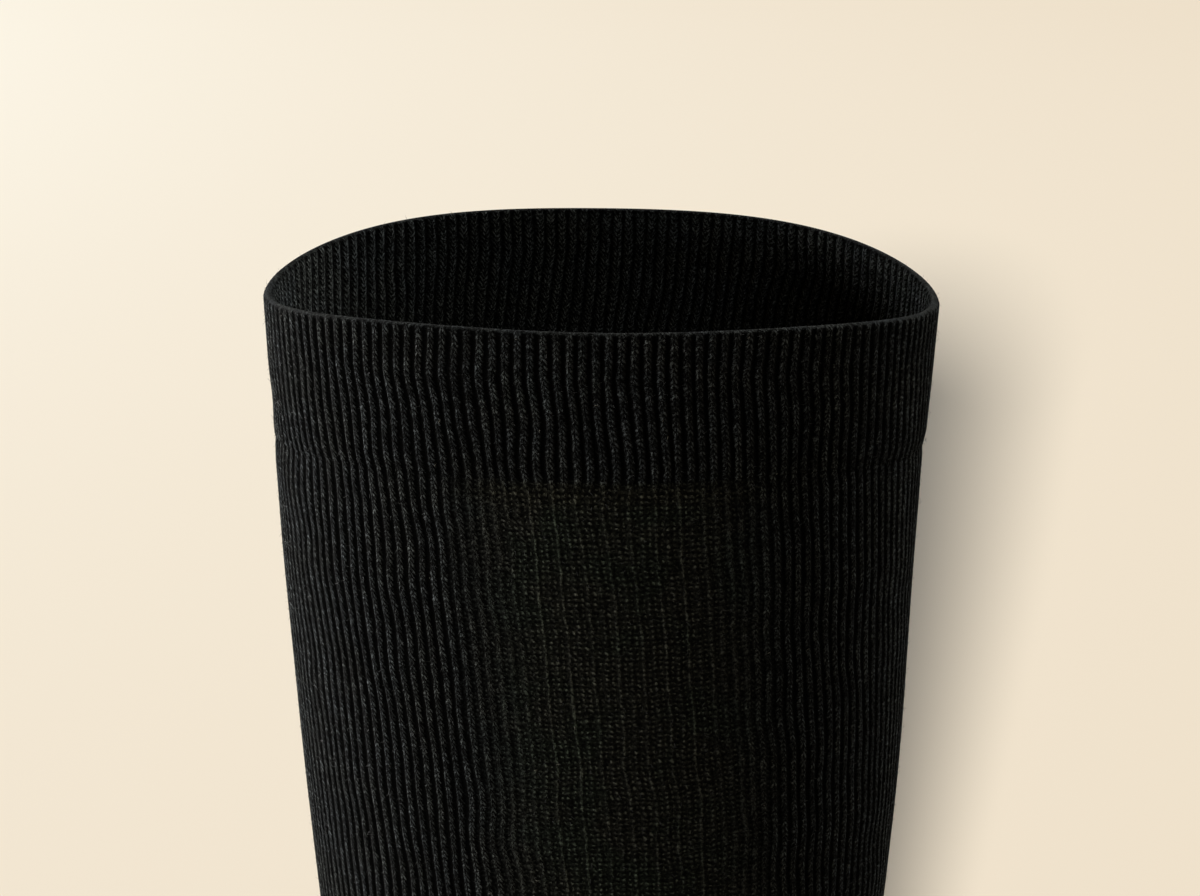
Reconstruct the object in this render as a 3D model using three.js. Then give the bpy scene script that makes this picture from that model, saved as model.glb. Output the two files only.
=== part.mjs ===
// A knee-high compression stocking, filled out to the shape it has when worn, with nobody in it.
// Millimetres, +Z up. The origin is the middle of the leg opening and the toes point along -Y.
import * as THREE from 'three';
import { mergeVertices } from 'three/addons/utils/BufferGeometryUtils.js';

// Knit
const RIBS = 156;
const RIB_HEIGHT = 0.4;
const INNER_SIDES = 52;
const SOLE_SIDES = 39;
const TOE_SIDES = 78;
const HEEL_STEPS = 40;
const HEEL_COURSES = 6;

// Walls, from the rib crests to the plain inside
const BAND_WALL = 2.4;
const LEG_WALL = 1.6;
const FOOT_WALL = 1.6;
const POCKET_WALL = 1.8;

// Top band: a turned welt that stands out most at its rim, which dips at the two sides of the leg
const PROUD_AT_RIM = 0.7;
const PROUD_AT_SEAM = 0.35;
const RIM_ROUND = 1.2;
const RIM_DIP = 4.6;
const DIP_POWER = 3.5;
const DIP_FADES_FROM = -31;
const DIP_FADES_TO = -130;

// The ribs run straight for a few millimetres and then turn slowly round the leg
const SPIRAL_ANGLE = 0.22;
const SPIRAL_FROM = -8;
const SPIRAL_TO = -248;

// Seams
const SEAM_GAP = 0.3;
const SLANTED_SEAM_GAP = 0.42;

// Sections of the tube from the mouth to the toe. Each one is a flat ring that runs from the front
// line (shin, instep, top of the toes) to the back line (calf, heel, sole), both given as Y and Z.
// half is its half width across the leg and sole how square its back half is: 2 is an ellipse.
const SECTIONS = [
  { name: 'rim', front: [-46.3, 0], back: [45.8, 0], half: 59.3, sole: 2.1 },
  { name: 'welt_end', front: [-45.1, -26], back: [46.1, -26], half: 58.4, sole: 2.1 },
  { name: 'top_calf', front: [-43.6, -60], back: [46.9, -60], half: 56.9, sole: 2.05 },
  { name: 'calf', front: [-41.4, -100], back: [47.6, -100], half: 54.8, sole: 2 },
  { name: 'mid_calf', front: [-39, -150], back: [46, -150], half: 50.4, sole: 2 },
  { name: 'low_calf', front: [-37, -200], back: [41.8, -200], half: 44.2, sole: 2 },
  { name: 'shank', front: [-35.6, -250], back: [37, -250], half: 37.8, sole: 2 },
  { name: 'ankle', front: [-35.4, -300], back: [36, -300], half: 32, sole: 2 },
  { name: 'heel_top', front: [-36.4, -326], back: [40.6, -336], half: 32.4, sole: 2 },
  { name: 'ankle_bone', front: [-39.4, -342], back: [52, -366], half: 35, sole: 2 },
  { name: 'instep', front: [-45.2, -353], back: [60, -402], half: 35.4, sole: 2.1 },
  { name: 'heel_base', front: [-53.2, -360.4], back: [44, -429.5], half: 34.6, sole: 2.3 },
  { name: 'heel_end', front: [-63, -366.6], back: [6, -432], half: 34.4, sole: 2.5 },
  { name: 'arch', front: [-76, -373.8], back: [-38, -431.4], half: 35.6, sole: 2.6 },
  { name: 'waist', front: [-98, -384.6], back: [-80, -431.6], half: 39.4, sole: 2.6 },
  { name: 'ball', front: [-126, -396], back: [-119, -432], half: 43.6, sole: 2.6 },
  { name: 'toe_line', front: [-146, -402.6], back: [-143, -432], half: 43, sole: 2.5 },
  { name: 'toes', front: [-164, -407.6], back: [-163, -431.6], half: 38.6, sole: 2.4 },
  { name: 'toe_curve', front: [-176, -412], back: [-176, -430], half: 31, sole: 2.2 },
  { name: 'toe_front', front: [-183, -416.4], back: [-183.2, -427], half: 21, sole: 2.1 },
  { name: 'toe_tip', front: [-186, -420.4], back: [-186, -423.8], half: 9, sole: 2 },
];

const LAST = SECTIONS.length - 1;
const station = (name) => SECTIONS.findIndex((section) => section.name === name);
const lineThrough = (points) => new THREE.CatmullRomCurve3(points, false, 'catmullrom', 0.5);
const frontLine = lineThrough(SECTIONS.map(({ front }) => new THREE.Vector3(0, ...front)));
const backLine = lineThrough(SECTIONS.map(({ back }) => new THREE.Vector3(0, ...back)));
const sizeLine = lineThrough(SECTIONS.map(({ half, sole }) => new THREE.Vector3(half, sole, 0)));

const FULL = 2 * Math.PI;
const FINE_PARTS = 1440;
const GIRTH_PARTS = 240;
const ROWS_PER_STATION = 8;

const clamp01 = (value) => Math.min(1, Math.max(0, value));
const signedPower = (value, power) => Math.sign(value) * Math.abs(value) ** power;

// How far the ribs have turned round the leg at a height; none is left to turn below SPIRAL_TO
function spiral(height) {
  const run = clamp01((height - SPIRAL_FROM) / (SPIRAL_TO - SPIRAL_FROM));
  return -SPIRAL_ANGLE * (1 - run) ** 2;
}

function sectionAt(at) {
  const t = at / LAST;
  const front = frontLine.getPoint(t);
  const back = backLine.getPoint(t);
  const size = sizeLine.getPoint(t);
  const middle = front.clone().add(back).multiplyScalar(0.5);
  const reach = back.clone().sub(front).multiplyScalar(0.5);
  return { middle, reach, half: size.x, sole: size.y };
}

// A point of a section's ring by its angle: 0 at +X, 90 degrees at the back line
function ringPoint({ middle, reach, half, sole }, angle) {
  const power = Math.sin(angle) > 0 ? 2 / sole : 1;
  const point = middle.clone().addScaledVector(reach, signedPower(Math.sin(angle), power));
  point.x = half * signedPower(Math.cos(angle), power);
  return point;
}

// The angles that part a section's ring into GIRTH_PARTS stretches of one length, from the front
// line once round
function evenAngles(at) {
  const section = sectionAt(at);
  const angleOf = (i) => (FULL * i) / FINE_PARTS - FULL / 4;
  const passed = [0];
  let last = ringPoint(section, angleOf(0));
  for (let i = 1; i <= FINE_PARTS; i += 1) {
    const point = ringPoint(section, angleOf(i));
    passed.push(passed[i - 1] + point.distanceTo(last));
    last = point;
  }
  let i = 0;
  return Array.from({ length: GIRTH_PARTS + 1 }, (_, part) => {
    const goal = (passed[FINE_PARTS] * part) / GIRTH_PARTS;
    while (i < FINE_PARTS - 1 && passed[i + 1] < goal) {
      i += 1;
    }
    return angleOf(i + (goal - passed[i]) / (passed[i + 1] - passed[i]));
  });
}

const evenRows = Array.from({ length: LAST * ROWS_PER_STATION + 1 }, (_, row) => (
  evenAngles(row / ROWS_PER_STATION)
));

const mix = (from, to, share) => from + (to - from) * share;

// The ring angle of a place that is a share of the girth round from the front line. turn is that
// share as an angle, 270 degrees at the front line and 90 at the back line.
function evenAngle(at, turn) {
  const row = at * ROWS_PER_STATION;
  const j = Math.min(Math.floor(row), evenRows.length - 2);
  const round = turn / FULL + 0.25;
  const part = (round - Math.floor(round)) * GIRTH_PARTS;
  const i = Math.floor(part);
  const alongRow = (angles) => mix(angles[i], angles[i + 1], part - i);
  return mix(alongRow(evenRows[j]), alongRow(evenRows[j + 1]), row - j);
}

// A point of the stocking's outer form
function formPoint(at, turn) {
  const section = sectionAt(at);
  const angle = evenAngle(at, turn + spiral(section.middle.z));
  const point = ringPoint(section, angle);
  const dip = clamp01((point.z - DIP_FADES_TO) / (DIP_FADES_FROM - DIP_FADES_TO));
  point.z -= RIM_DIP * dip * Math.abs(Math.cos(angle)) ** DIP_POWER;
  return point;
}

const STEP = 0.02;

// Millimetres of cloth for one step of the station number, along a rib
function clothPerStation(at, turn) {
  const low = Math.max(0, at - STEP);
  const high = Math.min(LAST, at + STEP);
  return formPoint(low, turn).distanceTo(formPoint(high, turn)) / (high - low);
}

function outward(at, turn) {
  const low = Math.max(0, at - STEP);
  const high = Math.min(LAST, at + STEP);
  const along = formPoint(high, turn).sub(formPoint(low, turn));
  const round = formPoint(at, turn + STEP).sub(formPoint(at, turn - STEP));
  return round.cross(along).normalize().negate();
}

const SAME_PLACE = 0.001;

// A solid made of rings of points. Each ring keeps its points' turns, so that a ring of many
// points can be joined to one of few.
class Cloth {
  constructor() {
    this.points = [];
    this.faces = [];
  }

  // depthAt gives how far a point lies inside the outer form
  ring(turns, stationAt, depthAt) {
    const first = this.points.length;
    turns.forEach((turn, i) => {
      const at = stationAt(turn);
      const point = formPoint(at, turn).addScaledVector(outward(at, turn), -depthAt(i));
      this.points.push(point);
    });
    return { first, turns, count: turns.length };
  }

  pole(point) {
    this.points.push(point);
    return { first: this.points.length - 1, turns: [0], count: 1 };
  }

  // Triangles between two rings, always stepping to the nearer next turn
  join(upper, lower, round) {
    const stepsOf = (ring) => (ring.count === 1 ? 0 : ring.count - (round ? 0 : 1));
    const turnOf = (ring, i) => ring.turns[i % ring.count] + (i >= ring.count ? FULL : 0);
    const idOf = (ring, i) => ring.first + (i % ring.count);
    const upperSteps = stepsOf(upper);
    const lowerSteps = stepsOf(lower);
    let i = 0;
    let j = 0;
    while (i < upperSteps || j < lowerSteps) {
      const upperNext = i < upperSteps ? turnOf(upper, i + 1) : Infinity;
      const lowerNext = j < lowerSteps ? turnOf(lower, j + 1) : Infinity;
      if (upperNext <= lowerNext) {
        this.faces.push([idOf(upper, i), idOf(lower, j), idOf(upper, i + 1)]);
        i += 1;
      } else {
        this.faces.push([idOf(upper, i), idOf(lower, j), idOf(lower, j + 1)]);
        j += 1;
      }
    }
  }

  joinInTurn(rings, round) {
    rings.slice(1).forEach((ring, i) => this.join(rings[i], ring, round));
  }

  // Down the outside, up the inside and back to the first ring, which closes the wall
  closeWall(rings, round) {
    this.joinInTurn([...rings, rings[0]], round);
  }

  geometry() {
    const raw = new THREE.BufferGeometry().setFromPoints(this.points);
    raw.setIndex(this.faces.flat());
    const merged = mergeVertices(raw, SAME_PLACE);
    const ids = Array.from(merged.index.array);
    const kept = [];
    for (let i = 0; i < ids.length; i += 3) {
      const [a, b, c] = ids.slice(i, i + 3);
      if (a !== b && b !== c && c !== a) {
        kept.push(a, b, c);
      }
    }
    merged.setIndex(kept);
    merged.computeVertexNormals();
    return merged;
  }
}

const turnsBetween = (from, to, steps, closed) => (
  Array.from({ length: steps + (closed ? 0 : 1) }, (_, i) => from + ((to - from) * i) / steps)
);

const ribbedTurns = turnsBetween(0, FULL, 2 * RIBS, true);
const innerTurns = turnsBetween(0, FULL, INNER_SIDES, true);
const toeTurns = turnsBetween(0, FULL, TOE_SIDES, true);
// The foot's sole is plain and its top keeps the leg's ribs
const footTurns = [
  ...turnsBetween(0, Math.PI, SOLE_SIDES, true),
  ...turnsBetween(Math.PI, FULL, RIBS, true),
];

const ribDepth = (i) => (i % 2 ? RIB_HEIGHT : 0);
const footDepth = (i) => (i > SOLE_SIDES && (i - SOLE_SIDES) % 2 ? RIB_HEIGHT : 0);
const evenDepth = (depth) => () => depth;
const level = (at) => () => at;

// The heel pocket is a wedge. Its two edges leave the instep ring at the sides of the ankle and
// part towards the back, where they reach the heel_top and heel_end sections.
const instep = station('instep');
const wedge = (turn) => Math.max(0, Math.sin(turn));
const heelUpper = (turn) => instep - (instep - station('heel_top')) * wedge(turn);
const heelLower = (turn) => instep + (station('heel_end') - instep) * wedge(turn);

// Moves a seam line along the ribs by half its gap
const beside = (line, turn, side) => {
  const at = line(turn);
  const gap = wedge(turn) > 0 ? SLANTED_SEAM_GAP : SEAM_GAP;
  return at + (side * gap) / 2 / clothPerStation(at, turn);
};

function topBand() {
  const cloth = new Cloth();
  const weltEnd = station('welt_end');
  const perStation = clothPerStation(weltEnd / 2, 0);
  const seam = weltEnd - SEAM_GAP / 2 / perStation;
  const shoulder = RIM_ROUND / perStation;
  const proud = (at) => mix(PROUD_AT_RIM, PROUD_AT_SEAM, at / weltEnd);
  const outer = [shoulder, seam / 3, (seam * 2) / 3, seam].map((at) => (
    cloth.ring(ribbedTurns, level(at), (i) => ribDepth(i) - proud(at))
  ));
  const fold = cloth.ring(ribbedTurns, level(0), evenDepth(BAND_WALL / 2 - PROUD_AT_RIM));
  const inner = [seam, seam / 2, shoulder].map((at) => (
    cloth.ring(innerTurns, level(at), evenDepth(BAND_WALL - proud(at)))
  ));
  cloth.closeWall([fold, ...outer, ...inner], true);
  return cloth.geometry();
}

function leg() {
  const cloth = new Cloth();
  const weltEnd = station('welt_end');
  const start = weltEnd + SEAM_GAP / 2 / clothPerStation(weltEnd + STEP, 0);
  const stretch = ['top_calf', 'calf', 'mid_calf', 'low_calf', 'shank', 'ankle'].map(station);
  const end = (turn) => beside(heelUpper, turn, -1);
  const lastFull = station('ankle');
  const between = (share) => (turn) => mix(lastFull, end(turn), share);
  const rows = [start, ...stretch].map(level).concat([between(0.5), end]);
  const outer = rows.map((row) => cloth.ring(ribbedTurns, row, ribDepth));
  const inner = rows.map((row) => cloth.ring(innerTurns, row, evenDepth(LEG_WALL)));
  cloth.closeWall([...outer, ...inner.reverse()], true);
  return cloth.geometry();
}

const TIP_STEP = 0.002;

function heel() {
  const cloth = new Cloth();
  const upper = (turn) => beside(heelUpper, turn, 1);
  const lower = (turn) => beside(heelLower, turn, -1);
  // The wedge starts where its two edges are a seam apart
  let tip = 0;
  while (lower(tip) <= upper(tip)) {
    tip += TIP_STEP;
  }
  const turns = turnsBetween(tip, Math.PI - tip, HEEL_STEPS, false);
  const isTip = (turn) => turn === turns[0] || turn === turns[HEEL_STEPS];
  const row = (share) => (turn) => {
    const place = isTip(turn) ? 0.5 : share;
    return mix(upper(turn), lower(turn), place);
  };
  const shares = turnsBetween(0, 1, HEEL_COURSES, false);
  const outer = shares.map((share) => cloth.ring(turns, row(share), evenDepth(0)));
  const inner = shares.map((share) => cloth.ring(turns, row(share), evenDepth(POCKET_WALL)));
  cloth.closeWall([...outer, ...inner.reverse()], false);
  return cloth.geometry();
}

function foot() {
  const cloth = new Cloth();
  const start = (turn) => beside(heelLower, turn, 1);
  const firstFull = station('arch');
  const between = (share) => (turn) => mix(start(turn), firstFull, share);
  const end = (turn) => beside(() => station('toe_line'), turn, -1);
  const stretch = ['arch', 'waist', 'ball'].map(station).map(level);
  const rows = [start, between(0.5), ...stretch, end];
  const outer = rows.map((row) => cloth.ring(footTurns, row, footDepth));
  const inner = rows.map((row) => cloth.ring(innerTurns, row, evenDepth(FOOT_WALL)));
  cloth.closeWall([...outer, ...inner.reverse()], true);
  return cloth.geometry();
}

function toe() {
  const cloth = new Cloth();
  const start = (turn) => beside(() => station('toe_line'), turn, 1);
  const ends = ['toes', 'toe_curve', 'toe_front', 'toe_tip'].map(station);
  const outer = [start, ...ends.map(level)].map((row) => cloth.ring(toeTurns, row, evenDepth(0)));
  const inner = [start, ...ends.slice(0, -1).map(level)].map((row) => (
    cloth.ring(innerTurns, row, evenDepth(POCKET_WALL))
  ));
  const tip = formPoint(LAST, Math.PI / 2).add(formPoint(LAST, -Math.PI / 2)).multiplyScalar(0.5);
  const outerPole = cloth.pole(tip);
  const innerPole = cloth.pole(tip.clone().add(new THREE.Vector3(0, POCKET_WALL, 0)));
  cloth.joinInTurn([...outer, outerPole], true);
  cloth.joinInTurn([innerPole, ...inner.reverse(), outer[0]], true);
  return cloth.geometry();
}

const group = new THREE.Group();
group.name = 'compression_stocking';
const PIECES = [
  { name: 'top_band', shape: topBand, colour: 0x1f1f21, roughness: 0.92 },
  { name: 'leg', shape: leg, colour: 0x1b1b1c, roughness: 0.92 },
  { name: 'heel', shape: heel, colour: 0x161617, roughness: 0.95 },
  { name: 'foot', shape: foot, colour: 0x1a1a1b, roughness: 0.92 },
  { name: 'toe', shape: toe, colour: 0x161617, roughness: 0.95 },
];

for (const { name, shape, colour, roughness } of PIECES) {
  const material = new THREE.MeshStandardMaterial({ color: colour, roughness, metalness: 0 });
  const mesh = new THREE.Mesh(shape(), material);
  mesh.name = name;
  group.add(mesh);
}

export default group;
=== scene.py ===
import math
import bpy
import numpy as np
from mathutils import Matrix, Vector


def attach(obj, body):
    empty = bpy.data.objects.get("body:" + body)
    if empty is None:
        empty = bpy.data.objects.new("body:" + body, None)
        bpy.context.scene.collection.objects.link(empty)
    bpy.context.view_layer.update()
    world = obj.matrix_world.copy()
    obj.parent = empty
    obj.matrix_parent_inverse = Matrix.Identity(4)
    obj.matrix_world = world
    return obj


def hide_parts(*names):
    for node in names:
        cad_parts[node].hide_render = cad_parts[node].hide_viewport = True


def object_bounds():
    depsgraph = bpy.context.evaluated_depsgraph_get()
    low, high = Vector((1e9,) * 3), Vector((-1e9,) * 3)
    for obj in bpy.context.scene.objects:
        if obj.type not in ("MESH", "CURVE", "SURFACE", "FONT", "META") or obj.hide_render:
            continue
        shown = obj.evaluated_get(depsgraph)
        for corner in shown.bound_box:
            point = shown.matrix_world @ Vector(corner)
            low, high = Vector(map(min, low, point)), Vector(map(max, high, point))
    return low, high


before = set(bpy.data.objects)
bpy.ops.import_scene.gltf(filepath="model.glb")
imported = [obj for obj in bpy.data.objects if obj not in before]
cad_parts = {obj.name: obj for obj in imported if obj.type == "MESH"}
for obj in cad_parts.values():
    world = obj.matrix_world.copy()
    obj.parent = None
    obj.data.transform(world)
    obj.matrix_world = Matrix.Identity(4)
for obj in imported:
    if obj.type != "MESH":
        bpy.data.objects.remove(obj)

cad_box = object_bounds()

# The camera stands in front of the shin and a little above the leg opening. A long lens frames the
# top quarter of the stocking, and the foot is below the picture.
camera_distance = 0.592
camera_aside = -0.0004
view_down = math.radians(13.9)
aim_below_opening = math.radians(3.13)
camera_data = bpy.data.cameras.new("camera")
camera_data.lens = 100
camera_data.sensor_width = 36
camera = bpy.data.objects.new("camera", camera_data)
camera.location = (
    camera_aside,
    -camera_distance * math.cos(view_down),
    camera_distance * math.sin(view_down),
)
camera.rotation_euler = (math.pi / 2 - view_down - aim_below_opening, 0, 0)
bpy.context.scene.collection.objects.link(camera)
bpy.context.scene.camera = camera
bpy.context.scene.view_settings.view_transform = "Standard"


# The floor is a wide sheet of cream card under the sole. It fills the picture behind the stocking.
def node_of(tree, kind, inputs=None, **settings):
    """Adds a node; inputs maps a socket's name or number to a value or to another node's output"""
    node = tree.nodes.new(kind)
    for key, value in settings.items():
        setattr(node, key, value)
    for key, value in (inputs or {}).items():
        if isinstance(value, bpy.types.NodeSocket):
            tree.links.new(value, node.inputs[key])
        else:
            node.inputs[key].default_value = value
    return node


def new_material(name):
    material = bpy.data.materials.new(name)
    material.use_nodes = True
    return material, material.node_tree, material.node_tree.nodes["Principled BSDF"]


def mottled(name, scale, detail, first, second, roughness):
    """A matt material that drifts between two near colours"""
    material, tree, shader = new_material(name)
    place = node_of(tree, "ShaderNodeTexCoord").outputs["Object"]
    mottle = node_of(tree, "ShaderNodeTexNoise", {"Vector": place, "Scale": scale, "Detail": detail})
    tint = node_of(tree, "ShaderNodeMix", {"Factor": mottle.outputs["Fac"]}, data_type="RGBA")
    tint.inputs["A"].default_value = first
    tint.inputs["B"].default_value = second
    tree.links.new(tint.outputs["Result"], shader.inputs["Base Color"])
    shader.inputs["Roughness"].default_value = roughness
    shader.inputs["Specular IOR Level"].default_value = 0.1
    return material


floor_size = 40
under_sole = 0.0006
cream = (0.9, 0.79, 0.625, 1)
deeper_cream = (0.885, 0.775, 0.61, 1)
bpy.ops.object.select_all(action="DESELECT")
bpy.ops.mesh.primitive_plane_add(size=floor_size, location=(0, 0, cad_box[0].z - under_sole))
floor = bpy.context.object
floor.name = "floor"
floor.data.materials.append(mottled("cream_card", 0.8, 3, cream, deeper_cream, 0.9))

# Faint room light comes from all round, off walls as pale as the card. A low lamp beside the camera
# shines on the card alone and throws the stocking's shadow, and a cool glow from behind at the left
# whitens the card there. Windows on both sides light the cloth.
world = bpy.data.worlds.new("room")
world.use_nodes = True
room = world.node_tree.nodes["Background"]
room.inputs["Strength"].default_value = 0.15
faint_light = (1, 0.74, 0.44, 1)
pale_wall = (5.8, 5.1, 4.2, 1)
seen = node_of(world.node_tree, "ShaderNodeLightPath").outputs["Is Camera Ray"]
wall = node_of(world.node_tree, "ShaderNodeMix", {"Factor": seen}, data_type="RGBA")
wall.inputs["A"].default_value = faint_light
wall.inputs["B"].default_value = pale_wall
world.node_tree.links.new(wall.outputs["Result"], room.inputs["Color"])
bpy.context.scene.world = world

cloth = bpy.data.collections.new("cloth")
card_only = bpy.data.collections.new("card_only")
card_only.objects.link(floor)


def add_lamp(name, kind, energy, azimuth, elevation, distance, lit, **settings):
    """A lamp that looks at the top of the stocking; azimuth 0 is the camera's side, + its left"""
    data = bpy.data.lights.new(name, kind)
    data.energy = energy
    for key, value in settings.items():
        setattr(data, key, value)
    lamp = bpy.data.objects.new(name, data)
    round_by = math.radians(azimuth)
    up_by = math.radians(elevation)
    level = distance * math.cos(up_by)
    lamp.location = (
        -level * math.sin(round_by),
        -level * math.cos(round_by),
        distance * math.sin(up_by),
    )
    lamp.rotation_euler = (math.pi / 2 - up_by, 0, -round_by)
    lamp.light_linking.receiver_collection = lit
    bpy.context.scene.collection.objects.link(lamp)


window = {"shape": "DISK", "size": 0.8}
sun = {"angle": math.radians(4.4), "color": (1, 0.99, 0.98)}
add_lamp("low_lamp", "SUN", 9.0, 7.5, 15.2, 1, card_only, **sun)
add_lamp("far_glow", "AREA", 94, 135, 12, 4.3, card_only, color=(0.43, 0.68, 1), **window)
add_lamp("left_window", "AREA", 70, 71, -13, 1.3, cloth, color=(1, 0.97, 0.93), **window)
add_lamp("left_glow", "AREA", 125, 117, -1, 1.3, cloth, color=(1, 0.96, 0.96), **window)
add_lamp("high_window", "AREA", 8, -60, 50, 1.3, cloth, color=(1, 0.98, 0.94), **window)
add_lamp("right_window", "AREA", 62, -128, 40, 1.3, cloth, color=(1, 0.97, 0.93), **window)

# The top band is the turned welt: the ribbed cloth is knitted twice as long, folded over at the rim
# and caught down inside. It is two layers thick, stands a little proud and ends in a soft groove.
MM = 0.001
RIBS = 156
COURSE = 0.98 * MM
RIB_DEPTH = 0.46 * MM
BAND_WALL = 1.9 * MM
PROUD_AT_RIM = 0.7 * MM
PROUD_AT_SEAM = 0.22 * MM
RIM_ROUND = 0.95 * MM
# The rim dips at both sides and is highest at the camera's left. This fades out down the calf.
RIM_DIP = 4.6 * MM
DIP_POWER = 3.5
RIM_TILT = 0.74 * MM
DIP_FADES = (-130 * MM, -31 * MM)
# The ribs turn a little round the leg as they go down
SPIRAL_ANGLE = 0.22
SPIRAL_RUN = (-8 * MM, -248 * MM)
# Below the band the cloth has slipped a little to the camera's left
SLIP = 0.65 * MM
SLIP_HEIGHT = -48 * MM
SLIP_SPREAD = 34 * MM

# Each row is a flat ring of the tube, from its front line (shin, instep, toes) to its back line
# (calf, heel, sole), in millimetres, with its half width and how square its back half is.
SECTIONS = {
    # name: (front y, front z, back y, back z, half width, squareness)
    "rim": (-46.3, 0, 45.8, 0, 59.3, 2.2),
    "welt_end": (-45.1, -26, 46.1, -26, 58.4, 2.16),
    "top_calf": (-43.6, -60, 46.9, -60, 56.9, 2.08),
    "calf": (-41.4, -100, 47.6, -100, 54.8, 2),
    "mid_calf": (-39, -150, 46, -150, 50.4, 2),
    "low_calf": (-37, -200, 41.8, -200, 44.2, 2),
    "shank": (-35.6, -250, 37, -250, 37.8, 2),
    "ankle": (-35.4, -300, 36, -300, 32, 2),
    "heel_top": (-36.4, -326, 40.6, -336, 32.4, 2),
    "ankle_bone": (-39.4, -342, 52, -366, 35, 2),
    "instep": (-45.2, -353, 60, -402, 35.4, 2.1),
    "heel_base": (-53.2, -360.4, 44, -429.5, 34.6, 2.3),
    "heel_end": (-63, -366.6, 6, -432, 34.4, 2.5),
    "arch": (-76, -373.8, -38, -431.4, 35.6, 2.6),
    "waist": (-98, -384.6, -80, -431.6, 39.4, 2.6),
    "ball": (-126, -396, -119, -432, 43.6, 2.6),
    "toe_line": (-146, -402.6, -143, -432, 43, 2.5),
    "toes": (-164, -407.6, -163, -431.6, 38.6, 2.4),
    "toe_curve": (-176, -412, -176, -430, 31, 2.2),
    "toe_front": (-183, -416.4, -183.2, -427, 21, 2.1),
    "toe_tip": (-186, -420.4, -186, -423.8, 9, 2),
}
section_names = list(SECTIONS)
station = section_names.index
LAST = len(section_names) - 1
# Past the last section the toe closes in a small dome
DOME = 0.25
DOME_RISE = 0.8 * MM
section_sizes = np.array(list(SECTIONS.values()), float) * ([MM] * 5 + [1])
first_guide = 2 * section_sizes[0] - section_sizes[1]
last_guide = 2 * section_sizes[-1] - section_sizes[-2]
section_line = np.vstack((first_guide, section_sizes, last_guide))


def section_at(at):
    """The sizes of the section at each place along the tube, on smooth curves through the rows"""
    at = np.minimum(at, LAST)
    low = np.clip(np.floor(at).astype(int), 0, LAST - 1)
    t = (at - low)[..., None]
    before, start, end, after = (section_line[low + i] for i in range(4))
    leave = (end - before) / 2
    arrive = (after - start) / 2
    bend = -3 * start + 3 * end - 2 * leave - arrive
    turn_back = 2 * start - 2 * end + leave + arrive
    return start + leave * t + bend * t**2 + turn_back * t**3


def signed_power(value, power):
    return np.sign(value) * np.abs(value) ** power


def smooth_step(value, start, end):
    t = np.clip((value - start) / (end - start), 0, 1)
    return t * t * (3 - 2 * t)


def ring_point(sizes, angle):
    """A point of a section's ring by its angle: 0 at +X and a quarter turn at the back line"""
    front, back = sizes[..., 0:2], sizes[..., 2:4]
    power = np.where(np.sin(angle) > 0, 2 / sizes[..., 5], 1)
    reach = signed_power(np.sin(angle), power)[..., None]
    inner = (front + back) / 2 + (back - front) / 2 * reach
    across = sizes[..., 4] * signed_power(np.cos(angle), power)
    return np.concatenate((across[..., None], inner), -1)


def look_up(table, row, column):
    """Reads between the values of a table"""
    row = np.clip(row, 0, table.shape[0] - 1)
    column = np.clip(column, 0, table.shape[1] - 1)
    i = np.minimum(row.astype(int), table.shape[0] - 2)
    j = np.minimum(column.astype(int), table.shape[1] - 2)
    down = row - i
    along = column - j
    upper = table[i, j] * (1 - along) + table[i, j + 1] * along
    lower = table[i + 1, j] * (1 - along) + table[i + 1, j + 1] * along
    return upper * (1 - down) + lower * down


# Ribs lie evenly round the tube, so a place is found by its share of the girth from the front line
GIRTH_PARTS = 240
FINE_PARTS = 1440
ROWS_PER_STATION = 8
row_places = np.linspace(0, LAST, LAST * ROWS_PER_STATION + 1)
fine_angles = np.linspace(-math.pi / 2, 1.5 * math.pi, FINE_PARTS + 1)
fine_rings = ring_point(section_at(row_places)[:, None], fine_angles[None])
fine_steps = np.linalg.norm(np.diff(fine_rings, axis=1), axis=2)
passed = np.pad(np.cumsum(fine_steps, axis=1), ((0, 0), (1, 0)))
shares = np.linspace(0, 1, GIRTH_PARTS + 1)
EVEN = np.array([np.interp(shares, row / row[-1], fine_angles) for row in passed])


def form_point(at, turn):
    """The stocking's outer form. turn is the share of the girth as an angle: 0 at +X, a quarter
    turn at the back line and three quarters at the front line"""
    sizes = section_at(at)
    height = (sizes[..., 1] + sizes[..., 3]) / 2
    run = np.clip((height - SPIRAL_RUN[0]) / (SPIRAL_RUN[1] - SPIRAL_RUN[0]), 0, 1)
    round_by = turn - SPIRAL_ANGLE * (1 - run) ** 2
    share = (round_by / (2 * math.pi) + 0.25) % 1
    angle = look_up(EVEN, at * ROWS_PER_STATION, share * GIRTH_PARTS)
    point = ring_point(sizes, angle)
    dip = np.clip((point[..., 2] - DIP_FADES[0]) / (DIP_FADES[1] - DIP_FADES[0]), 0, 1)
    side = np.cos(angle)
    point[..., 2] -= dip * (RIM_DIP * np.abs(side) ** DIP_POWER + RIM_TILT * side)
    point[..., 0] -= SLIP * np.exp(-(((point[..., 2] - SLIP_HEIGHT) / SLIP_SPREAD) ** 2))
    past = np.clip((at - LAST) / DOME, 0, 1)[..., None]
    middle = np.stack((0 * height, (sizes[..., 0] + sizes[..., 2]) / 2, height), -1)
    point = middle + (point - middle) * np.sqrt(1 - past**2)
    point[..., 1] -= DOME_RISE * past[..., 0]
    return point


STEP = 0.02


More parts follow.
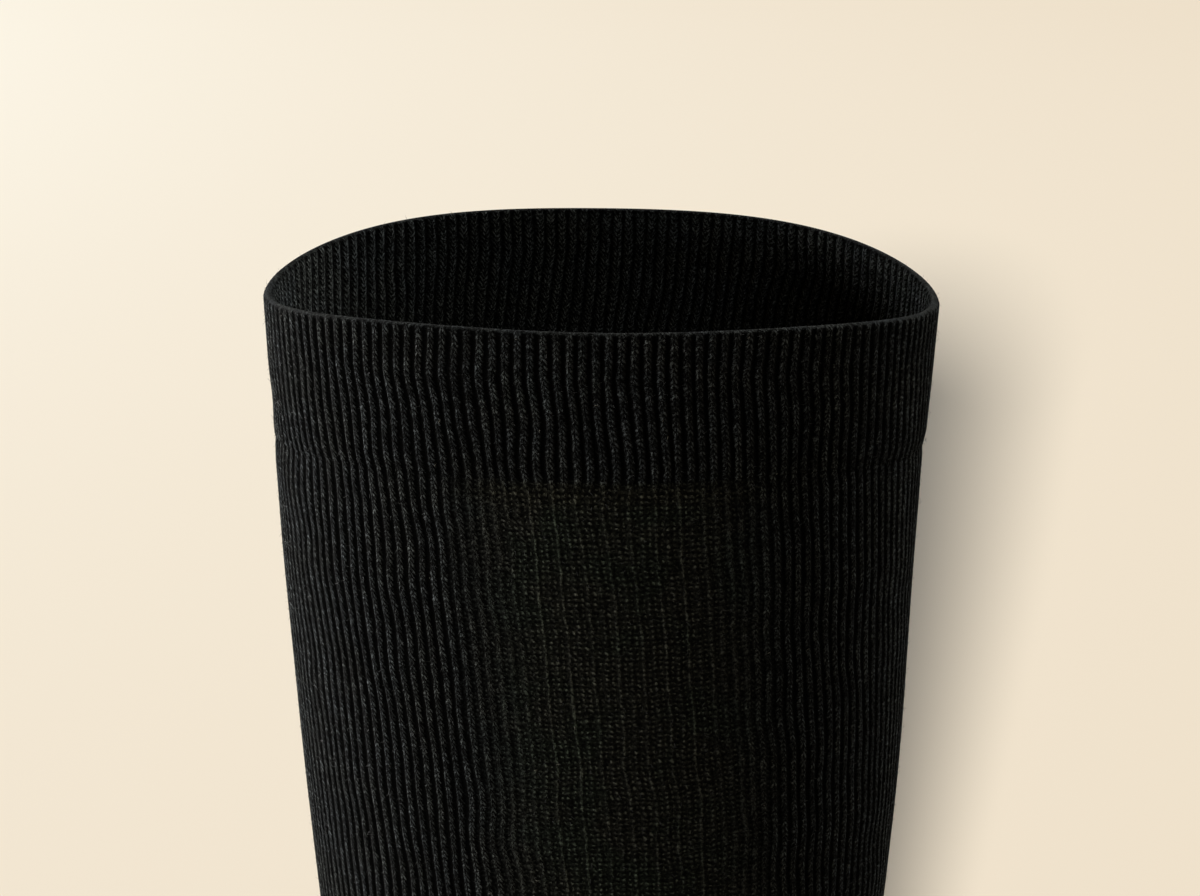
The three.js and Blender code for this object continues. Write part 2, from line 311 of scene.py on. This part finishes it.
def outward(at, turn):
    """The direction out of the cloth"""
    low = np.clip(at - STEP, 0, LAST + DOME)
    high = np.clip(at + STEP, 0, LAST + DOME)
    along = form_point(high, turn) - form_point(low, turn)
    round_it = form_point(at, turn + STEP) - form_point(at, turn - STEP)
    normal = -np.cross(round_it, along)
    length = np.linalg.norm(normal, axis=-1, keepdims=True)
    forward = np.array((0, -1, 0))
    return np.where(length > 1e-12, normal / np.maximum(length, 1e-12), forward)


# Cloth is measured down each rib, so that stitches are the same size all over
CLOTH_PARTS = 810
cloth_places = np.linspace(0, LAST + DOME, CLOTH_PARTS + 1)
cloth_turns = np.linspace(0, 2 * math.pi, RIBS + 1)
cloth_grid = form_point(*np.meshgrid(cloth_places, cloth_turns, indexing="ij"))
cloth_steps = np.linalg.norm(np.diff(cloth_grid, axis=0), axis=2)
CLOTH = np.pad(np.cumsum(cloth_steps, axis=0), ((1, 0), (0, 0)))
ALL_COURSES = 600


def cloth_down(at, turn):
    """The length of cloth from the rim to a place, along its rib"""
    row = at / cloth_places[-1] * CLOTH_PARTS
    return look_up(CLOTH, row, (turn / (2 * math.pi)) % 1 * RIBS)


# Ribs wander a little to left and right, neighbours together. A knot is a place where the way that
# a rib strays is drawn anew, and between knots it eases over. At the rim the ribs start straight.
COURSES_PER_KNOT = 8
KNOTS = 90
SETTLED = 9
chance = np.random.default_rng(28)
wander_own = chance.normal(size=(RIBS, KNOTS))
wander_shared = chance.normal(size=(RIBS, KNOTS))
blur = np.exp(-np.linspace(-2, 2, 13) ** 2)
for column in range(wander_shared.shape[1]):
    ring = np.tile(wander_shared[:, column], 3)
    wander_shared[:, column] = np.convolve(ring, blur / blur.sum() * 2, "same")[RIBS : 2 * RIBS]
WANDER = 0.045 * wander_own + 0.16 * wander_shared
WANDER = np.vstack((WANDER, WANDER[:1]))


def wander(rib, course):
    """How far a rib has strayed, in ribs"""
    course = np.abs(course)
    knot = np.clip(course / COURSES_PER_KNOT, 0, KNOTS - 1)
    whole = np.floor(knot)
    eased = whole + (knot - whole) ** 2 * (3 - 2 * (knot - whole))
    return look_up(WANDER, rib % RIBS, eased) * np.clip(course / SETTLED, 0, 1)


def from_front(turn):
    """How far round a place is from the front line, as an angle, + to the right"""
    return np.angle(np.exp(1j * (turn - 1.5 * math.pi)))


# The open patch of ribs: how far below the rim it starts and ends, and how far round from the front
# line, as angles. The second number of each is where the change is over.
OPEN_STARTS = (25.5 * MM, 28 * MM)
OPEN_ENDS = (170 * MM, 250 * MM)
OPEN_LEFT = (-0.42, 0)
OPEN_RIGHT = (0.4, 0.85)


def openness(at, turn):
    """Where the front of the calf is stretched most, the ribs open and lie flatter"""
    sizes = section_at(at)
    down = -(sizes[..., 1] + sizes[..., 3]) / 2
    below_band = smooth_step(down, *OPEN_STARTS) * (1 - smooth_step(down, *OPEN_ENDS))
    away = from_front(turn)
    return below_band * smooth_step(away, *OPEN_LEFT) * (1 - smooth_step(away, *OPEN_RIGHT))


# Soft creases in the cloth. Each is a shallow trough, or a ridge where its depth is negative.
CREASES = [
    # turn (degrees), height, length, width (mm), slant (degrees), depth (mm)
    (222, -31, 30, 5.0, -14, 0.42),
    (213, -38, 24, 5.5, -20, -0.3),
    (240, -45, 26, 6.0, -24, 0.25),
    (196, -24, 20, 4.5, 12, 0.3),
    (335, -33, 26, 4.5, 10, 0.35),
    (318, -60, 34, 7.0, 22, 0.22),
    (28, -36, 32, 5.0, -8, 0.42),
    (52, -52, 26, 6.5, 18, -0.3),
    (80, -30, 36, 5.0, 6, 0.4),
    (118, -40, 30, 6.0, -16, 0.36),
    (150, -28, 26, 5.0, 10, 0.4),
    (165, -64, 36, 8.0, -20, 0.25),
    (268, -286, 26, 5.0, 4, 0.5),
    (262, -300, 30, 6.0, -5, -0.5),
    (276, -314, 30, 5.5, 6, 0.75),
    (268, -330, 34, 6.0, -3, -0.45),
    (82, -296, 26, 6.0, 8, 0.5),
    (96, -312, 30, 6.5, -6, 0.55),
    (8, -330, 22, 6.0, 28, 0.5),
    (172, -332, 24, 6.0, -24, 0.5),
]
# Each one bends a little along its length
CREASE_BOW = 0.006


def creases(point, turn):
    """How deep the soft creases lie at each point"""
    depth = np.zeros(turn.shape)
    for around, height, length, width, slant, deep in CREASES:
        away = np.angle(np.exp(1j * (turn - math.radians(around))))
        radius = np.hypot(point[..., 0], point[..., 1])
        across = away * radius / MM
        up = point[..., 2] / MM - height
        tilt = math.radians(slant)
        along = across * math.cos(tilt) + up * math.sin(tilt)
        aside = up * math.cos(tilt) - across * math.sin(tilt)
        aside = aside + along**2 * CREASE_BOW
        depth += deep * MM * np.exp(-((along / length) ** 2) * 3 - (aside / width) ** 2)
    return depth


# Across one rib: its crest at 0, its shoulders, and the deep narrow gap to the next one at a half
RIB_STEPS = np.array([-0.36, -0.2, 0, 0.2, 0.36, 0.5])
ribbed = (np.arange(RIBS)[:, None] + RIB_STEPS).ravel()
CREST = 0.08
OPEN_FLATTER = 0.6


def rib_hollow(rib):
    """0 on a rib's crest and 1 in the gap beside it"""
    aside = np.abs((rib + 0.5) % 1 - 0.5)
    return smooth_step(aside, CREST, 0.5)


def knit(name, ribs, rows, closed=True, strays=True):
    """Brings a flat grid to a knitted sheet's form. ribs are the columns' places round the tube.
    Each row is (place along the tube, depth under the form, relief of its ribs, course)"""
    if closed:
        ribs = np.append(ribs, ribs[0] + RIBS)
    rib = np.tile(ribs, (len(rows), 1))
    grids = np.empty((4,) + rib.shape)
    for number, row in enumerate(rows):
        for part, value in enumerate(row):
            if closed and np.ndim(value):
                value = np.append(value, value[0])
            grids[part, number] = value
    at, depth, relief, course = grids
    stray = wander(rib, course) if strays else 0
    turn = (rib + stray) * 2 * math.pi / RIBS
    open_by = openness(at, turn)
    deep = depth + relief * rib_hollow(rib) * (1 - OPEN_FLATTER * open_by)
    points = form_point(at, turn)
    deep = deep + creases(points, turn)
    points = points - outward(at, turn) * deep[..., None]

    bpy.ops.object.select_all(action="DESELECT")
    bpy.ops.mesh.primitive_grid_add(
        x_subdivisions=rib.shape[1] - 1, y_subdivisions=rib.shape[0] - 1, size=1
    )
    sheet = bpy.context.object
    sheet.name = name
    mesh = sheet.data
    mesh.name = name
    mesh.vertices.foreach_set("co", points.ravel())
    loops = np.empty(len(mesh.loops), int)
    mesh.loops.foreach_get("vertex_index", loops)
    stitch_map = np.stack((rib / RIBS, course / ALL_COURSES), -1).reshape(-1, 2)[loops]
    mesh.uv_layers[0].data.foreach_set("uv", stitch_map.ravel())
    mesh.uv_layers[0].name = "stitches"
    mesh.attributes.new("open_ribs", "FLOAT", "POINT").data.foreach_set("value", open_by.ravel())
    bpy.ops.object.mode_set(mode="EDIT")
    bpy.ops.mesh.select_all(action="SELECT")
    bpy.ops.mesh.remove_doubles(threshold=2e-6)
    bpy.ops.object.mode_set(mode="OBJECT")
    bpy.ops.object.shade_smooth()
    return sheet


def tinted(colour, *tint):
    return tuple(part * share for part, share in zip(colour, tint)) + (1,)


def knit_material(name, yarn, wales=RIBS, plain=False):
    """Rows of knitted stitches, worked out from the stitch map. On a rib two strands of yarn meet in
    an arrow at each course. Where the ribs open, beads of yarn show between thin lines."""
    material, tree, shader = new_material(name)

    def sums(operation, a, b=0.0, c=0.0):
        return node_of(tree, "ShaderNodeMath", {0: a, 1: b, 2: c}, operation=operation).outputs[0]

    def between(value, low, high, to_low=0.0, to_high=1.0):
        inputs = {"Value": value, "From Min": low, "From Max": high}
        inputs |= {"To Min": to_low, "To Max": to_high}
        node = node_of(tree, "ShaderNodeMapRange", inputs, interpolation_type="SMOOTHSTEP")
        return node.outputs["Result"]

    def mix(amount, a, b):
        return sums("MULTIPLY_ADD", sums("SUBTRACT", b, a), amount, a)

    def blend(amount, a, b, how="MIX"):
        node = node_of(tree, "ShaderNodeMix", {"Factor": amount}, data_type="RGBA", blend_type=how)
        for socket, value in (("A", a), ("B", b)):
            if isinstance(value, bpy.types.NodeSocket):
                tree.links.new(value, node.inputs[socket])
            else:
                node.inputs[socket].default_value = value
        return node.outputs["Result"]

    def noise(scale, detail, roughness=0.5):
        inputs = {"Vector": place, "Scale": scale, "Detail": detail, "Roughness": roughness}
        return node_of(tree, "ShaderNodeTexNoise", inputs).outputs["Fac"]

    def white(value):
        node = node_of(tree, "ShaderNodeTexWhiteNoise", {"W": value}, noise_dimensions="1D")
        return node.outputs["Value"]

    stitches = node_of(tree, "ShaderNodeUVMap", uv_map="stitches").outputs["UV"]
    split = node_of(tree, "ShaderNodeSeparateXYZ", {"Vector": stitches})
    place = node_of(tree, "ShaderNodeTexCoord").outputs["Object"]
    # aside is 0 on a rib's crest and a half in the gap. Noise makes ribs and courses uneven.
    sway = sums("SUBTRACT", noise(420, 2), 0.5)
    ragged = sums("SUBTRACT", noise(1500, 2), 0.5)
    fuzz = noise(1800, 4, 0.8)
    across = sums("MULTIPLY_ADD", split.outputs["X"], float(wales), 0.5)
    across = sums("MULTIPLY_ADD", ragged, 0.3, sums("MULTIPLY_ADD", sway, 0.2, across))
    rib_number = sums("FLOOR", across)
    aside = sums("ABSOLUTE", sums("SUBTRACT", sums("FRACT", across), 0.5))
    course = sums("MULTIPLY", split.outputs["Y"], float(ALL_COURSES))
    own = white(rib_number)
    loose = sums("MULTIPLY_ADD", ragged, 1.1, sums("MULTIPLY", sway, 0.9))
    down = sums("ADD", sums("ADD", course, loose), own)

    # From each side a strand slants up to the crest, and no two are equally light
    slant = sums("MULTIPLY_ADD", aside, -3.0, down)
    strand = sums("ABSOLUTE", sums("MULTIPLY_ADD", sums("FRACT", slant), 2.0, -1.0))
    # Painted shade: the yarn's colour is made dark at each strand's ends, where the two strands part on
    # the crest and in the gaps between ribs, standing in for the shade that falls there.
    strand = between(strand, 1.0, 0.25, 0.1, 1.1)
    parting = between(aside, 0.0, 0.08, 0.2, 1.0)
    side = between(aside, 0.5, 0.36, 0.25, 1.0) if plain else between(aside, 0.35, 0.17)
    lit = sums("MULTIPLY", sums("MULTIPLY", strand, parting), side)
    height = lit
    each = white(sums("MULTIPLY_ADD", rib_number, 17.0, sums("FLOOR", slant)))
    lit = sums("MULTIPLY", lit, sums("MULTIPLY_ADD", each, 1.1, 0.45))
    lit = sums("MULTIPLY", lit, sums("MULTIPLY_ADD", own, 0.4, 0.8))
    # The dye is a little warmer in patches
    patchy = between(noise(90, 3), 0.4, 0.6)
    dyed = blend(patchy, tinted(yarn, 0.99, 1, 1.02), tinted(yarn, 1.03, 1.01, 0.95))
    if not plain:
        # Inside the band, seen from the back, the ribs are wide and the gaps are shallow, and the yarn
        # there is painted lighter, as painted light standing in for light falling inside past the rim
        inside = between(course, -0.3, -1.2)
        lit = mix(inside, lit, sums("MULTIPLY_ADD", between(aside, 0.47, 0.24, 0.2, 1.5), strand, lit))
        # At the fold the ribs die out into fluffy cloth
        fold = between(sums("ABSOLUTE", course), 0.0, 0.5)
        lit = mix(fold, sums("MULTIPLY_ADD", strand, 0.5, 0.35), lit)
        height = mix(fold, 0.5, height)
        # On the open front a thin line of stitches is left of every second rib
        opened = node_of(tree, "ShaderNodeAttribute", attribute_name="open_ribs").outputs["Fac"]
        even = sums("SUBTRACT", 1.0, sums("FLOORED_MODULO", rib_number, 2.0))
        line = sums("MULTIPLY", between(aside, 0.16, 0.04, 0.0, 1.05), sums("MULTIPLY", even, strand))
        twice = sums("MULTIPLY_ADD", across, 2.0, 0.5)
        beside = sums("ABSOLUTE", sums("SUBTRACT", sums("FRACT", twice), 0.5))
        row = sums("ADD", course, sums("ADD", loose, sums("MULTIPLY", white(sums("FLOOR", twice)), 0.3)))
        beat = sums("ABSOLUTE", sums("MULTIPLY_ADD", sums("FRACT", row), 2.0, -1.0))
        # Painted shade: between the beads and the thin lines the colour stays dark, standing in for the
        # shade in the stretched gaps.
        bead = sums("MULTIPLY", between(beat, 0.7, 0.2), between(beside, 0.36, 0.1, 0.12, 1.0))
        number = sums("MULTIPLY_ADD", sums("FLOOR", twice), 31.0, sums("FLOOR", row))
        bead = sums("MULTIPLY", bead, sums("MULTIPLY_ADD", white(number), 0.9, 0.45))
        flat = sums("MAXIMUM", sums("MULTIPLY_ADD", bead, 1.25, 0.13), line)
        height = mix(opened, height, flat)
        lit = mix(opened, lit, flat)
        beads = blend(patchy, tinted(yarn, 0.98, 1.07, 0.78), tinted(yarn, 1.12, 1.02, 0.8))
        dyed = blend(opened, dyed, beads)
        # The first courses under the band are laid in with a browner yarn
        laid_in = sums("MULTIPLY", between(course, 26.4, 27.4), between(course, 33.0, 29.0))
        dyed = blend(sums("MULTIPLY", opened, laid_in), dyed, tinted(yarn, 1.2, 1.06, 0.78))
    # Fuzz breaks each strand up into fibres
    lit = sums("MULTIPLY", lit, between(fuzz, 0.4, 0.66, 0.1, 2.9))
    lit = sums("ADD", lit, 0.02)
    shade = node_of(tree, "ShaderNodeCombineColor", {"Red": lit, "Green": lit, "Blue": lit})
    colour = blend(1.0, dyed, shade.outputs["Color"], how="MULTIPLY")
    tree.links.new(colour, shader.inputs["Base Color"])
    rise = sums("MULTIPLY_ADD", fuzz, 1.3, height)
    bump = node_of(tree, "ShaderNodeBump", {"Height": rise, "Distance": 0.0004})
    bump.inputs["Strength"].default_value = 1.0
    tree.links.new(bump.outputs["Normal"], shader.inputs["Normal"])
    shader.inputs["Roughness"].default_value = 0.95
    shader.inputs["Specular IOR Level"].default_value = 0.006
    shader.inputs["Sheen Weight"].default_value = 0.01
    shader.inputs["Sheen Roughness"].default_value = 0.4
    shader.inputs["Sheen Tint"].default_value = (0.6, 0.6, 0.58, 1)
    return material


YARN = (0.0085, 0.0097, 0.0099)
BAND_END = station("welt_end")
# Two stretches of cloth each end this far from the line where they join, as a share of a section
SEAM = 0.001
black_rib = knit_material("black_rib", YARN)
rib_turns = ribbed * 2 * math.pi / RIBS
FOLD_COURSES = 1.1
# On the inside of the cloth the backs of the gaps stand up as ribs, and less
INSIDE_RELIEF = -0.6 * RIB_DEPTH


def band_row(at, depth, relief, outside=True):
    """A row round the band; its ribs die out where the cloth folds over at the rim. On the inside
    the courses are counted up from the fold, below nought."""
    course = cloth_down(at, rib_turns) / COURSE
    course = course if outside else -course
    return (at, depth, relief * smooth_step(np.abs(course), 0, FOLD_COURSES), course)


GROOVE_LEAST = 0.05 * MM
GROOVE_MEAN = 0.18 * MM
GROOVE_DEEPEST_AT = 5.3


def seam_groove(turn):
    """The join under the band sinks in most to the right of the front, and hardly at the left"""
    return GROOVE_MEAN + (GROOVE_MEAN - GROOVE_LEAST) * np.cos(turn - GROOVE_DEEPEST_AT)


def proud(at):
    return PROUD_AT_RIM + (PROUD_AT_SEAM - PROUD_AT_RIM) * at / BAND_END


mm_per_station = cloth_down(np.array([float(BAND_END)]), np.zeros(1))[0] / MM
shoulder = RIM_ROUND / MM / mm_per_station
band_rows = []
outer_places = np.linspace(BAND_END - 3 * SEAM, shoulder, 52)
for at in np.append(BAND_END - SEAM, outer_places):
    tuck = seam_groove(rib_turns) * smooth_step(at, BAND_END - 0.09, BAND_END)
    band_rows.append(band_row(at, tuck - proud(at), RIB_DEPTH))
for angle in np.linspace(0, math.pi, 9)[1:-1]:
    deep = BAND_WALL / 2 * (1 - math.cos(angle)) - PROUD_AT_RIM
    at = shoulder * (1 - math.sin(angle))
    band_rows.append(band_row(at, deep, RIB_DEPTH * math.cos(angle), angle < math.pi / 2))
for at in np.linspace(shoulder, BAND_END - SEAM, 44):
    band_rows.append(band_row(at, BAND_WALL - proud(at), INSIDE_RELIEF, outside=False))
band_rows.append(band_rows[0])
top_band = knit("top_band_cloth", ribbed, band_rows)
top_band.data.materials.append(black_rib)
cloth.objects.link(top_band)
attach(top_band, "root")
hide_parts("top_band")

# The leg is one ribbed tube, knitted on below the band and shaped by tighter stitches to the ankle.
# It ends level at the instep, and rises at the back to where the heel was turned.
LEG_WALL = 1.6 * MM
LEG_RELIEF = 0.85 * RIB_DEPTH
ANKLE, HEEL_TOP, INSTEP, HEEL_END, TOE_LINE = (
    station(name) for name in ("ankle", "heel_top", "instep", "heel_end", "toe_line")
)


def wedge(turn):
    """The heel's opening: 0 from the ankle's sides to the front, 1 at the back line"""
    return np.maximum(0, np.sin(turn))


def heel_upper(turn):
    return INSTEP - (INSTEP - HEEL_TOP) * wedge(turn)


def heel_lower(turn):
    return INSTEP + (HEEL_END - INSTEP) * wedge(turn)


def leg_row(at, depth, relief):
    at = at + np.zeros(rib_turns.shape)
    return (at, depth, relief, cloth_down(at, rib_turns) / COURSE)


leg_start = BAND_END + 3 * SEAM
closely = np.linspace(leg_start, station("calf") + 0.4, 62)
widely = np.linspace(closely[-1] + 0.12, ANKLE, 22)
leg_end = heel_upper(rib_turns) - SEAM
leg_rows = []
for share in (1, 0.995, 0.84, 0.68, 0.52, 0.36, 0.18):
    leg_rows.append(leg_row(ANKLE + (leg_end - ANKLE) * share, 0, LEG_RELIEF))
for at in np.append(np.concatenate((closely, widely))[::-1], BAND_END + SEAM):
    tuck = seam_groove(rib_turns) * (1 - smooth_step(at, leg_start, leg_start + 0.1))
    leg_rows.append(leg_row(at, tuck, LEG_RELIEF))
for at in np.linspace(BAND_END + SEAM, ANKLE, 10):
    leg_rows.append(leg_row(at, LEG_WALL, INSIDE_RELIEF))
for share in np.linspace(0, 1, 5)[1:]:
    leg_rows.append(leg_row(ANKLE + (leg_end - ANKLE) * share, LEG_WALL, INSIDE_RELIEF))
leg_rows.append(leg_rows[0])
leg = knit("leg_cloth", ribbed, leg_rows)
leg.data.materials.append(black_rib)
cloth.objects.link(leg)
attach(leg, "root")
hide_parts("leg")

# The heel is a pocket in plain, tighter knit, turned by short rows: they get shorter to its middle
# and longer again, and a slanting line of joined stitches runs in from each side of the ankle.
POCKET_WALL = 1.8 * MM
HEEL_COLUMNS = 150
GORE_RISE = 0.35 * MM
GORE_COURSES = 1.3
GORE_FADES = (0.6, 0.85)
heel_tip = math.asin(2 * SEAM / (HEEL_END - HEEL_TOP))
black_plain = knit_material("black_plain", tinted(YARN, 0.85, 0.85, 0.85)[:3], 2 * RIBS, plain=True)
heel_turns = np.linspace(heel_tip, math.pi - heel_tip, HEEL_COLUMNS + 1)
heel_ribs = heel_turns * RIBS / (2 * math.pi)
top_edge = heel_upper(heel_turns) + SEAM
low_edge = heel_lower(heel_turns) - SEAM
low_edge[[0, -1]] = top_edge[[0, -1]]
heel_start = cloth_down(top_edge, heel_turns) / COURSE
heel_length = cloth_down(low_edge, heel_turns) / COURSE - heel_start


def heel_row(share, depth, lower_half):
    at = top_edge + (low_edge - top_edge) * share
    turned = heel_length * share
    if lower_half:
        turned = turned - heel_length + heel_length.max()
    gore = np.exp(-(((share - 0.5) * heel_length / GORE_COURSES) ** 2))
    gore = gore * (1 - smooth_step(wedge(heel_turns), *GORE_FADES))
    raised = GORE_RISE * gore if depth == 0 else 0
    return (at, depth - raised, 0, heel_start + turned)


edge_share = 0.004
halves = [(0, False)] + [(share, False) for share in np.linspace(edge_share, 0.5, 26)]
halves += [(share, True) for share in np.linspace(0.5, 1 - edge_share, 26)] + [(1, True)]
heel_rows = [heel_row(share, 0, lower) for share, lower in halves[::-1]]
heel_rows += [heel_row(share, POCKET_WALL, lower) for share, lower in halves[::2]]
heel_rows.append(heel_row(1, POCKET_WALL, True))
heel_rows.append(heel_rows[0])
heel = knit("heel_cloth", heel_ribs, heel_rows, closed=False, strays=False)
heel.data.materials.append(black_plain)
cloth.objects.link(heel)
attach(heel, "root")
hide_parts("heel")

# The foot goes on from the heel as a tube: ribbed on top like the leg, and plain under the sole.
FOOT_WALL = 1.6 * MM
FOOT_RELIEF = 0.8 * RIB_DEPTH
INSTEP_RELIEF = -0.5 * RIB_DEPTH
SOLE_COLUMNS = 110
TOE_LINE_COURSE = 480
top_of_foot = ribbed[ribbed > RIBS / 2]
sole = np.linspace(0, RIBS / 2, SOLE_COLUMNS)
foot_ribs = np.concatenate((sole, top_of_foot[top_of_foot < RIBS]))
foot_turns = foot_ribs * 2 * math.pi / RIBS
is_top = smooth_step(foot_ribs, RIBS / 2, RIBS / 2 + 1) * (1 - smooth_step(foot_ribs, RIBS - 1, RIBS))
foot_start = heel_lower(foot_turns) + SEAM
foot_end = TOE_LINE - SEAM


def course_at(at, turns):
    """Courses of the foot and toe, which have the same number all round the toe line"""
    toe_line = cloth_down(np.full(turns.shape, float(TOE_LINE)), turns)
    return TOE_LINE_COURSE + (cloth_down(at, turns) - toe_line) / COURSE


def foot_row(at, depth, relief):
    at = at + np.zeros(foot_turns.shape)
    return (at, depth, relief * is_top, course_at(at, foot_turns))


inner_shares = (np.linspace(edge_share, 0.45, 20), np.linspace(0.45, 1 - edge_share, 32)[1:])
foot_shares = np.concatenate(((0,), *inner_shares, (1,)))
foot_rows = []
for share in foot_shares[::-1]:
    foot_rows.append(foot_row(foot_start + (foot_end - foot_start) * share, 0, FOOT_RELIEF))
for share in np.linspace(0, 1, 20):
    at = foot_start + (foot_end - foot_start) * share
    foot_rows.append(foot_row(at, FOOT_WALL, INSTEP_RELIEF))
foot_rows.append(foot_rows[0])
foot = knit("foot_cloth", foot_ribs, foot_rows)
foot.data.materials.append(black_rib)
foot.data.materials.append(black_plain)
for face in foot.data.polygons:
    middle = np.mean([foot.data.uv_layers[0].data[i].uv[0] for i in face.loop_indices])
    face.material_index = 1 if middle < 0.5 else 0
cloth.objects.link(foot)
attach(foot, "root")
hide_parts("foot")

# The toe is a closed pocket in the heel's plain knit, narrowed at both sides to a rounded end.
TOE_COLUMNS = 220
toe_ribs = np.linspace(0, RIBS, TOE_COLUMNS, endpoint=False)
toe_turns = toe_ribs * 2 * math.pi / RIBS


def toe_row(at, depth):
    at = at + np.zeros(toe_turns.shape)
    return (at, depth, 0, course_at(at, toe_turns))


toe_rows = [toe_row(at, 0) for at in np.linspace(LAST + DOME, LAST, 6)]
toe_rows += [toe_row(at, 0) for at in np.linspace(LAST, TOE_LINE + 3 * SEAM, 46)[1:]]
toe_rows.append(toe_row(TOE_LINE + SEAM, 0))
toe_rows += [toe_row(at, POCKET_WALL) for at in np.linspace(TOE_LINE + SEAM, LAST - 1, 18)]
inner_tip = np.linspace(LAST - 1, LAST - 0.2, 8)[1:]
toe_rows += [toe_row(at, POCKET_WALL) for at in inner_tip]
toe = knit("toe_cloth", toe_ribs, toe_rows, strays=False)
bpy.ops.object.mode_set(mode="EDIT")
bpy.ops.mesh.select_all(action="DESELECT")
bpy.ops.mesh.select_non_manifold()
bpy.ops.mesh.edge_collapse()
bpy.ops.object.mode_set(mode="OBJECT")
toe.data.materials.append(black_plain)
cloth.objects.link(toe)
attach(toe, "root")
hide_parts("toe")

# Loose fibres stand out of the yarn all over the stocking and soften its edges. Each is a thin spike
# that starts on the crest of a rib and lies over to one side.
FIBRES = 44000
FIBRE_LENGTH = (0.35 * MM, 1.1 * MM)
FIBRE_WIDTH = 0.03 * MM
FIBRE_LIFT = 0.35
pick = np.random.default_rng(5)


def on_cloth(count):
    """Random places on the outside of the cloth: points, and the directions out, down and round"""
    rib = pick.integers(0, RIBS, count)
    down = pick.random(count) * CLOTH[-1, rib] * 0.995
    at = np.empty(count)
    for number in range(RIBS):
        here = rib == number
        at[here] = np.interp(down[here], CLOTH[:, number], cloth_places)
    place = rib + pick.normal(0, 0.15, count)
    turn = (place + wander(place, down / COURSE)) * 2 * math.pi / RIBS
    out = outward(at, turn)
    raised = np.where(at < BAND_END, proud(at), 0)
    point = form_point(at, turn)
    round_it = np.cross(out, (0, 0, 1))
    round_it /= np.maximum(np.linalg.norm(round_it, axis=1, keepdims=True), 1e-9)
    point = point + out * (raised - creases(point, turn))[:, None]
    return point, out, np.cross(round_it, out), round_it


def spikes(name, count, lengths, width, lift):
    """Thin closed spikes, as one mesh"""
    point, out, down, round_it = on_cloth(count)
    angle = pick.random(count)[:, None] * 2 * math.pi
    rise = np.abs(pick.normal(lift, lift, count))[:, None]
    way = np.cos(angle) * down + np.sin(angle) * round_it + rise * out
    way /= np.linalg.norm(way, axis=1, keepdims=True)
    side = np.cross(way, out)
    side /= np.linalg.norm(side, axis=1, keepdims=True)
    above = np.cross(side, way)
    long = pick.uniform(*lengths, count)[:, None]
    corners = [point + (math.cos(a) * side + math.sin(a) * above) * width for a in (0, 2.1, 4.2)]
    tips = point + way * long
    vertices = np.stack(corners + [tips], 1).reshape(-1, 3)
    one = np.array(((0, 1, 2), (0, 3, 1), (1, 3, 2), (2, 3, 0)))
    faces = (np.arange(count)[:, None, None] * 4 + one).reshape(-1, 3)
    mesh = bpy.data.meshes.new(name)
    mesh.from_pydata(vertices.tolist(), [], faces.tolist())
    piece = bpy.data.objects.new(name, mesh)
    bpy.context.scene.collection.objects.link(piece)
    return piece


black = (0.004, 0.0043, 0.0044, 1)
dark_grey = (0.028, 0.03, 0.0295, 1)
loose_fibres = spikes("loose_fibres", FIBRES, FIBRE_LENGTH, FIBRE_WIDTH, FIBRE_LIFT)
loose_fibres.data.materials.append(mottled("black_fibre", 900, 2, black, dark_grey, 0.7))
cloth.objects.link(loose_fibres)
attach(loose_fibres, "root")

# Lint is a few hundred shorter and thicker fibres in a paler grey, picked up in the wash. They cling
# to the cloth and lie flatter on it.
LINT = 420
LINT_LENGTH = (0.25 * MM, 0.8 * MM)
LINT_WIDTH = 0.05 * MM
LINT_LIFT = 0.2
dusty_grey = (0.024, 0.022, 0.018, 1)
pale_grey = (0.12, 0.115, 0.095, 1)
lint = spikes("lint", LINT, LINT_LENGTH, LINT_WIDTH, LINT_LIFT)
lint.data.materials.append(mottled("pale_lint", 700, 2, dusty_grey, pale_grey, 0.8))
cloth.objects.link(lint)
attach(lint, "root")
